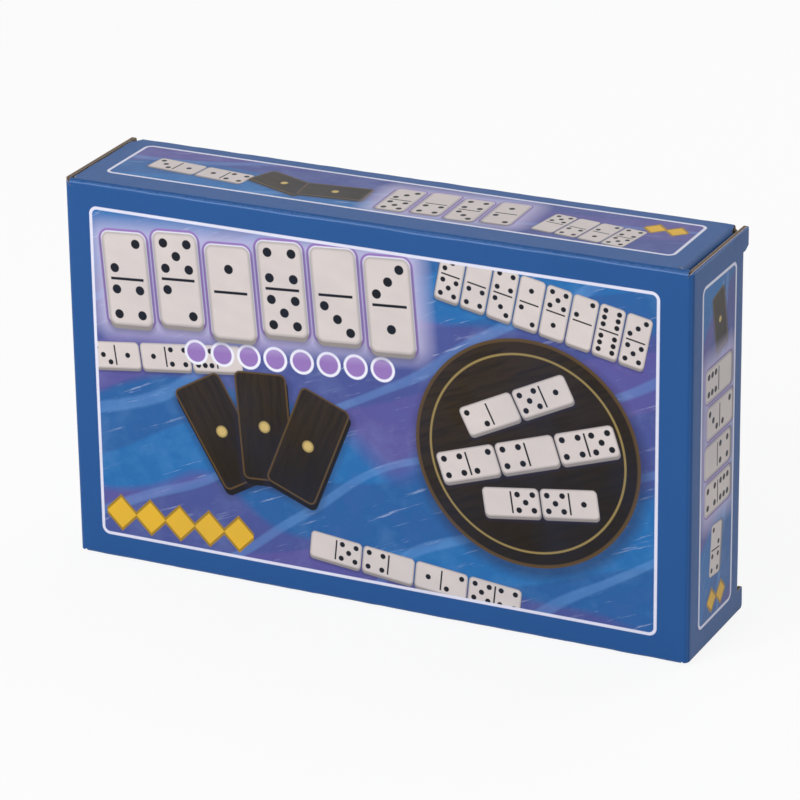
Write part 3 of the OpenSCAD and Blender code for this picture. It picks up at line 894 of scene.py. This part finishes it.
class DOMINO_OT_tucks(bpy.types.Operator):
    """Folds the tuck flaps that hold the end panels shut behind the back panel"""

    bl_idname = "domino_box.tucks"
    bl_label = "Tuck flaps"

    def execute(self, context):
        s = sizes()
        r = s.fold
        crease = END + TUCK_HIGH.y - FRONT
        tip = crease + END - TUCK_LOW.x
        root = crease - r - s.board - PLAY
        low, high, cut, square = TUCK_LOW.z, TUCK_HIGH.z, 4 * MM, crease + 2.5 * MM
        for name, side in SIDES:
            blank = cut_blank([
                (root, low), (square, low), (tip, low + cut), (tip, high - cut),
                (square, high), (root, high)], side)
            round_corners(blank, [(tip, low + cut), (tip, high - cut)], s.nick)
            across = ALONG * side
            score(blank, across, bend_lines(crease, r) + near_lines(crease, (3, 4.5, 6.5)))
            score(blank, UP, steps(low + 3 * MM, high - 3 * MM, FINE_STEP))
            ripple(blank, [(across, crease)])
            fold(blank, across, crease, r)
            fold(blank, across, END, r)
            piece = board_piece(f"printed_{name}_tuck", blank, plain_blue())
            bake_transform(piece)
            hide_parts(f"{name}_tuck_flap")
        return {"FINISHED"}


class DOMINO_OT_dust_flaps(bpy.types.Operator):
    """Folds the four dust flaps in from the ends of the top and bottom panels"""

    bl_idname = "domino_box.dust_flaps"
    bl_label = "Dust flaps"

    def execute(self, context):
        s = sizes()
        _, at_dust, _ = panel_edges()
        y0, y1 = DUST_LOW.y - FRONT, DUST_HIGH.y - FRONT
        reach = TOP - DUST_LOW.z
        slope, corner = reach * CUT_SLOPE, 3.4 * MM
        inner, outer = s.fold, DEEP - s.board - 2 * s.fold - 2 * PLAY
        across_steps = steps(3.5 * MM, outer - 1.5 * MM, FINE_STEP)
        for name, side in SIDES:
            across = ALONG * side
            crease, r = dust_crease(side)
            tip, slot = crease + reach, crease - r + 0.4 * MM
            place, spread, amount = (0.6, 0.7, 0.25 * MM) if side > 0 else (0.0, 0.5, 0.45 * MM)
            for level, start, up in (("top", TOP, 1), ("bottom", 0, -1)):
                points = [
                    (at_dust, inner), (slot, inner), (slot, y0), (crease, y0),
                    (tip, y0 + slope), (tip, y1 - corner), (tip - corner, y1), (slot, y1),
                    (slot, outer), (at_dust, outer)]
                blank = cut_blank([(u, start + up * v) for u, v in points], side)
                round_corners(blank, [(tip, start + up * (y0 + slope))], s.nick)
                score(blank, across, bend_lines(crease, r) + near_lines(crease, (4.0, 6.5))
                      + steps(crease + 10 * MM, tip - 3 * MM, NARROW_STEP))
                score(blank, UP, [start + up * v for v in across_steps])
                ripple(blank, [(across, crease), (UP, start)])
                swell(blank, across, crease + place * r, spread * r, amount)
                fold(blank, across, crease, r)
                fold(blank, UP * up, start * up, s.fold)
                piece = board_piece(f"printed_{name}_{level}_dust", blank, plain_blue())
                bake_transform(piece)
                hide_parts(f"{name}_{level}_dust_flap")
        return {"FINISHED"}


# ---- Wooden case and dominoes ----


def dress(nodes, material):
    """Gives the frame's own nodes a finish."""
    for name in nodes:
        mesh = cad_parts[name].data
        mesh.materials.clear()
        mesh.materials.append(material)


def nodes_like(*words):
    """The frame's nodes whose names hold any of the words."""
    return [n for n in sorted(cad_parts) if any(word in n for word in words)]


def case_wood():
    """Dark stained wood under lacquer, with rings, grain and pores along the case."""
    f = Finish("case_lacquered_wood", 0.34,
               Specular_IOR_Level=0.35, Coat_Weight=0.2, Coat_Roughness=0.15)
    spot, c = f.object_spot(), colours()
    drift = f.speckle(spot, 0.02, 3.0, 0.5)
    _, y, z = f.split(spot)
    grain = f.speckle(spot, 0.6, 6.0, 0.65, (0.06, 0.8, 0.8))
    pores = f.speckle(spot, 2.2, 3.0, 0.6, (0.06, 1.0, 1.0))
    rings = (z * 0.3 + y * 0.12 + drift * 22).sine()
    colour = f.mix(f.ink(grain, 0.5, 0.3), c.wood, dimmed(c.wood, 2.1))
    colour = f.mix(f.ink(rings, 0.0, 1.4) * 0.45, colour, dimmed(c.wood, 0.45))
    colour = f.mix(f.ink(pores, 0.38, 0.06) * 0.8, colour, dimmed(c.wood, 0.2))
    f.relief(grain * 0.3 - f.ink(pores, 0.38, 0.06) * 0.5, 0.12 * MM)
    return f.set(Base_Color=colour, Roughness=grain * 0.2 + 0.24)


def case_felt():
    """Dark green felt with a short nap."""
    f = Finish("case_felt_lining", 0.95, Sheen_Weight=0.4, Sheen_Roughness=0.5)
    spot, c = f.object_spot(), colours()
    nap = f.speckle(spot, 1.6, 5.0, 0.75)
    cloud = f.speckle(spot, 0.05, 2.0, 0.5)
    colour = f.mix(f.ink(nap, 0.48, 0.25), dimmed(c.felt, 1.9), dimmed(c.felt, 0.6))
    colour = f.mix(f.ink(cloud, 0.5, 0.3) * 0.35, colour, dimmed(c.felt, 1.6))
    f.relief(nap, 0.25 * MM)
    return f.set(Base_Color=colour)


def fitting_brass():
    """Brushed brass with a little tarnish."""
    f = Finish("fitting_brass", 0.3, Metallic=1.0)
    spot, c = f.object_spot(), colours()
    tarnish = f.speckle(spot, 0.35, 5.0, 0.65)
    brushed = f.speckle(spot, 4.0, 3.0, 0.6, (0.1, 1.0, 1.0))
    colour = f.mix(f.ink(tarnish, 0.42, 0.25) * 0.4, c.brass, dimmed(c.brass, 0.6))
    f.relief(brushed * 0.4 + tarnish * 0.4, 0.05 * MM)
    return f.set(Base_Color=colour, Roughness=tarnish * 0.3 + 0.14)


def tile_finish(name, face_y):
    """Cream tiles of one layer, with paint in the pips and the bar, which lie behind the face."""
    f = Finish(name, 0.22, Coat_Weight=0.3, Coat_Roughness=0.08)
    spot, c = f.object_spot(), colours()
    x, y, z = f.split(spot)
    low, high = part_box("domino_0_0")
    wide, tall = (high.x - low.x) / MM, (high.z - low.z) / MM
    gap, rim = 0.3, 1.2
    pitch_x, pitch_z = wide + gap, tall + gap
    middle = (low.x + high.x) / 2 / MM, (low.z + high.z) / 2 / MM
    in_x = abs((x - middle[0] + pitch_x / 2) % pitch_x - pitch_x / 2)
    in_z = abs((z - middle[1] + pitch_z / 2) % pitch_z - pitch_z / 2)
    behind = y - face_y
    inside = (in_x < wide / 2 - rim) * (in_z < tall / 2 - rim)
    painted = (behind > 0.1) * (behind < 1.0) * inside
    cloud = f.speckle(spot, 0.12, 4.0, 0.6)
    fine = f.speckle(spot, 1.3, 3.0, 0.5)
    body = f.mix(f.ink(cloud, 0.5, 0.35) * 0.4, c.tile, dimmed(c.tile, 0.86))
    body = f.mix(f.ink(fine, 0.4, 0.1) * 0.15, body, dimmed(c.tile, 0.75))
    f.relief(cloud * 0.6 + fine * 0.2, 0.06 * MM)
    colour = f.mix(painted, body, c.pip)
    return f.set(Base_Color=colour, Roughness=fine * 0.12 + 0.16 + painted * 0.25)


class DOMINO_OT_case(bpy.types.Operator):
    """Finishes the wooden case: frames, floor, lid panel and linings"""

    bl_idname = "domino_box.case"
    bl_label = "Wooden case"

    def execute(self, context):
        dress(nodes_like("tray_frame", "lid_frame", "tray_floor", "lid_panel"), case_wood())
        dress(nodes_like("lining"), case_felt())
        return {"FINISHED"}


class DOMINO_OT_fittings(bpy.types.Operator):
    """Finishes the brass hinges, screws, clasp and nails"""

    bl_idname = "domino_box.fittings"
    bl_label = "Brass fittings"

    def execute(self, context):
        dress(nodes_like("hinge", "clasp"), fitting_brass())
        return {"FINISHED"}


class DOMINO_OT_tiles(bpy.types.Operator):
    """Finishes the twenty-eight dominoes, in their two layers"""

    bl_idname = "domino_box.tiles"
    bl_label = "Dominoes"

    def execute(self, context):
        layers = {}
        for name in nodes_like("domino_"):
            layers.setdefault(round(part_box(name)[0].y / MM, 2), []).append(name)
        for i, (face_y, names) in enumerate(sorted(layers.items())):
            dress(names, tile_finish(f"tile_layer_{i}", face_y))
        return {"FINISHED"}


# ---- Stage ----


def way_to(azimuth, elevation):
    """The direction from the box to a place at an azimuth and elevation in degrees."""
    a, e = radians(azimuth), radians(elevation)
    return Vector((sin(a) * cos(e), -cos(a) * cos(e), sin(e)))


class DOMINO_OT_stage(bpy.types.Operator):
    """Sets the pale floor, the soft studio light and the camera"""

    bl_idname = "domino_box.stage"
    bl_label = "Studio"

    def execute(self, context):
        scene = context.scene
        scene.view_settings.view_transform = "Standard"
        floor_mesh = bmesh.new()
        bmesh.ops.create_grid(floor_mesh, x_segments=8, y_segments=8, size=FLOOR_REACH)
        bmesh.ops.translate(floor_mesh, verts=floor_mesh.verts, vec=(0, 0, -FLOOR_DROP))
        mesh = bpy.data.meshes.new("floor")
        floor_mesh.to_mesh(mesh)
        floor_mesh.free()
        floor_piece = bpy.data.objects.new("floor", mesh)
        scene.collection.objects.link(floor_piece)
        f = Finish("floor_pale", 0.9)
        f.link((0.94, 0.94, 0.94), f.shader.inputs["Base Color"])
        glow = f.node("Emission", None, {"Color": (1, 1, 1)})
        shown = f.node(
            "MixShader", None,
            {0: f.seen() * FLOOR_GLOW, 1: f.shader.outputs[0], 2: glow.outputs[0]})
        f.link(shown.outputs[0], f.tree.nodes["Material Output"].inputs["Surface"])
        mesh.materials.append(f.material)

        scene.world = bpy.data.worlds.new("studio")
        scene.world.use_nodes = True
        sky = Nodes(scene.world.node_tree)
        dim = sky.node("Background", None, {"Color": (0.38, 0.38, 0.39)})
        white = sky.node("Background", None, {"Color": (1, 1, 1)})
        shown = sky.node(
            "MixShader", None, {0: sky.seen(), 1: dim.outputs[0], 2: white.outputs[0]})
        sky.link(shown.outputs[0], sky.tree.nodes["World Output"].inputs["Surface"])

        for name, azimuth, elevation, power in LAMPS:
            lamp = bpy.data.lights.new(name, "AREA")
            lamp.energy, lamp.size = power, LAMP_SIZE
            light = bpy.data.objects.new(name, lamp)
            way = way_to(azimuth, elevation)
            light.location = way * LAMP_DISTANCE + UP * LAMP_AIM_HEIGHT
            light.rotation_euler = (-way).to_track_quat("-Z", "Y").to_euler()
            scene.collection.objects.link(light)

        lens = bpy.data.cameras.new("camera")
        lens.sensor_width, lens.lens = SENSOR, LENS
        lens.clip_start, lens.clip_end = 0.05, 50
        camera = bpy.data.objects.new("camera", lens)
        scene.collection.objects.link(camera)
        roll, facing = radians(VIEW_ROLL), radians(VIEW_AZIMUTH)
        back_way = way_to(VIEW_AZIMUTH, VIEW_ELEVATION)
        right = Vector((cos(facing), sin(facing), 0))
        up = back_way.cross(right)
        aim = UP * (TOP / 2) + right * AIM_RIGHT + up * AIM_UP
        rolled_right = right * cos(roll) + up * sin(roll)
        rolled_up = up * cos(roll) - right * sin(roll)
        turned = Matrix((rolled_right, rolled_up, back_way)).transposed().to_4x4()
        camera.matrix_world = Matrix.Translation(aim + back_way * VIEW_DISTANCE) @ turned
        scene.camera = camera
        return {"FINISHED"}


class DOMINO_PT_panel(bpy.types.Panel):
    """Lists the steps that dress the box, with its sizes and colours"""

    bl_label = "Domino box"
    bl_space_type = "VIEW_3D"
    bl_region_type = "UI"
    bl_category = "Domino box"

    def draw(self, context):
        for step in STEPS:
            self.layout.operator(step.bl_idname)
        for group in (context.scene.domino_box_sizes, context.scene.domino_box_colours):
            for name in group.__annotations__:
                self.layout.prop(group, name)


STEPS = (DOMINO_OT_sleeve, DOMINO_OT_ends, DOMINO_OT_tucks, DOMINO_OT_dust_flaps,
         DOMINO_OT_case, DOMINO_OT_fittings, DOMINO_OT_tiles, DOMINO_OT_stage)
CLASSES = (DominoBoxSizes, DominoBoxColours, *STEPS, DOMINO_PT_panel)


def register():
    for made in CLASSES:
        bpy.utils.register_class(made)
    bpy.types.Scene.domino_box_sizes = bpy.props.PointerProperty(type=DominoBoxSizes)
    bpy.types.Scene.domino_box_colours = bpy.props.PointerProperty(type=DominoBoxColours)


def unregister():
    del bpy.types.Scene.domino_box_sizes, bpy.types.Scene.domino_box_colours
    for made in reversed(CLASSES):
        bpy.utils.unregister_class(made)


def main():
    """Builds the dressed box and its stage."""
    register()
    for step in STEPS:
        family, name = step.bl_idname.split(".")
        getattr(getattr(bpy.ops, family), name)()


if __name__ == "__main__":
    main()
